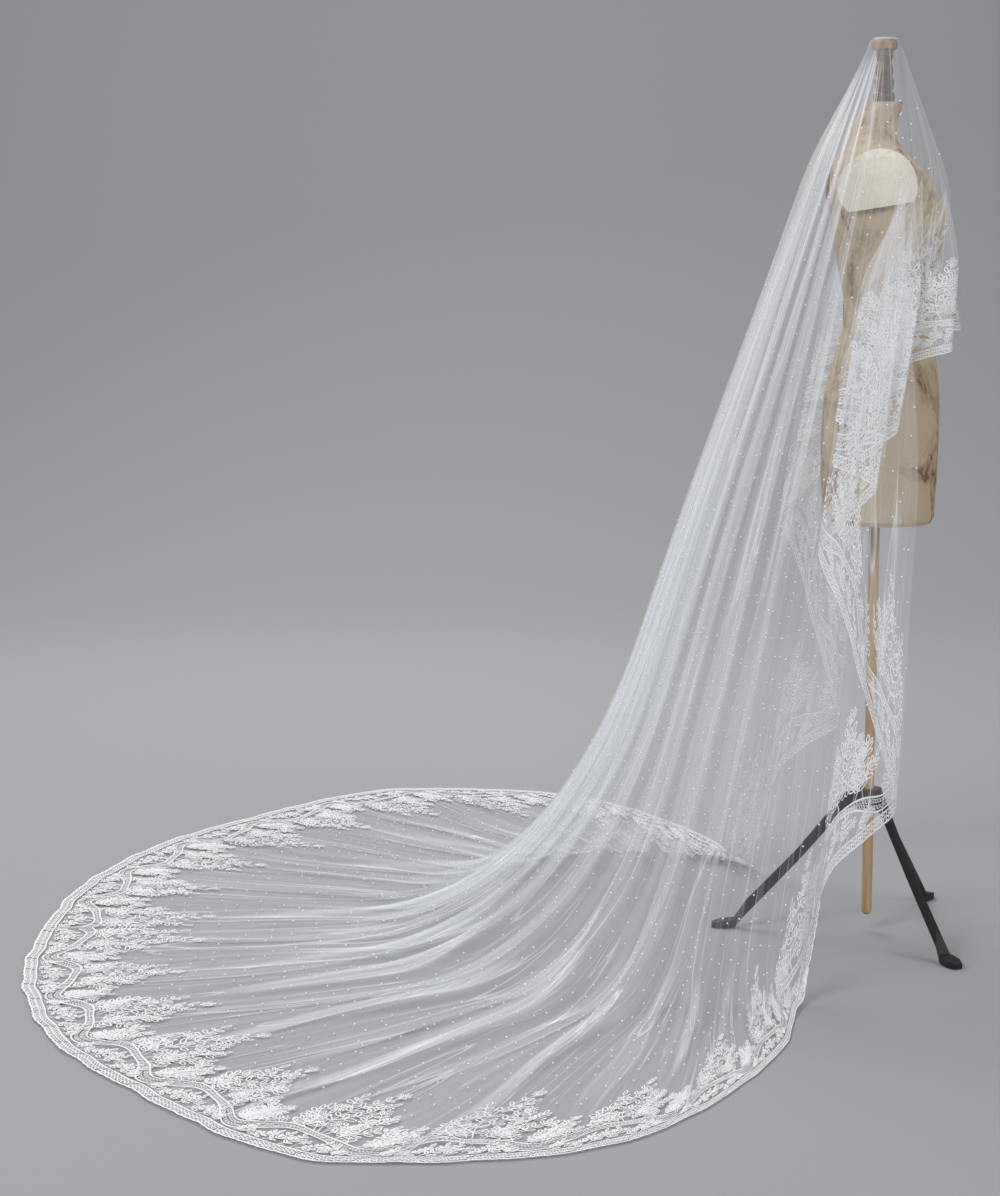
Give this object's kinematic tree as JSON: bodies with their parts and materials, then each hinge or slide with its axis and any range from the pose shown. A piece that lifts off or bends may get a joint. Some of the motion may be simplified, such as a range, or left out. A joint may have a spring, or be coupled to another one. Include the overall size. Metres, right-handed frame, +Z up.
{
  "type": "bridal veil on dress form",
  "caption": "Full-length circular bridal veil of sheer net with a wide lace border, draped over a limbless dress form on a tripod pole, with a long train on the floor.",
  "frame": {"origin": "centre of the bounding box at floor level", "axes": "+X is the front of the form, +Y its far side from the picture's view, +Z up; the floor is Z = 0"},
  "size_m": [1.7224, 2.429, 1.6493],
  "materials": {
    "tulle": "sheer pale silver-grey net",
    "lace": "matte off-white lace",
    "linen": "matte aged beige linen",
    "armcloth": "matte cream cloth",
    "capwood": "worn tan wood",
    "neckwood": "dark turned wood",
    "polewood": "satin pale wood",
    "legmetal": "satin black"
  },
  "bodies": {
    "root": {"form_body": "linen", "neck_finial": "neckwood", "neck_cap": "capwood", "arm_cap_near": "armcloth", "arm_cap_far": "armcloth", "stand_pole": "polewood", "stand_hub": "legmetal", "stand_leg_1": "legmetal", "stand_leg_2": "legmetal", "stand_leg_3": "legmetal", "veil_crown": "tulle", "tulle_back_near": "tulle", "tulle_back_far": "tulle", "tulle_side_near": "tulle", "tulle_side_far": "tulle", "tulle_cascade_near": "tulle", "tulle_cascade_far": "tulle", "tulle_front": "tulle", "train_back": "tulle", "train_near": "tulle", "train_far": "tulle", "lace_back": "lace", "lace_train_near": "lace", "lace_train_far": "lace", "lace_landing_near": "lace", "lace_landing_far": "lace", "lace_cascade_near": "lace", "lace_cascade_far": "lace", "lace_front": "lace"}
  },
  "joints": []
}
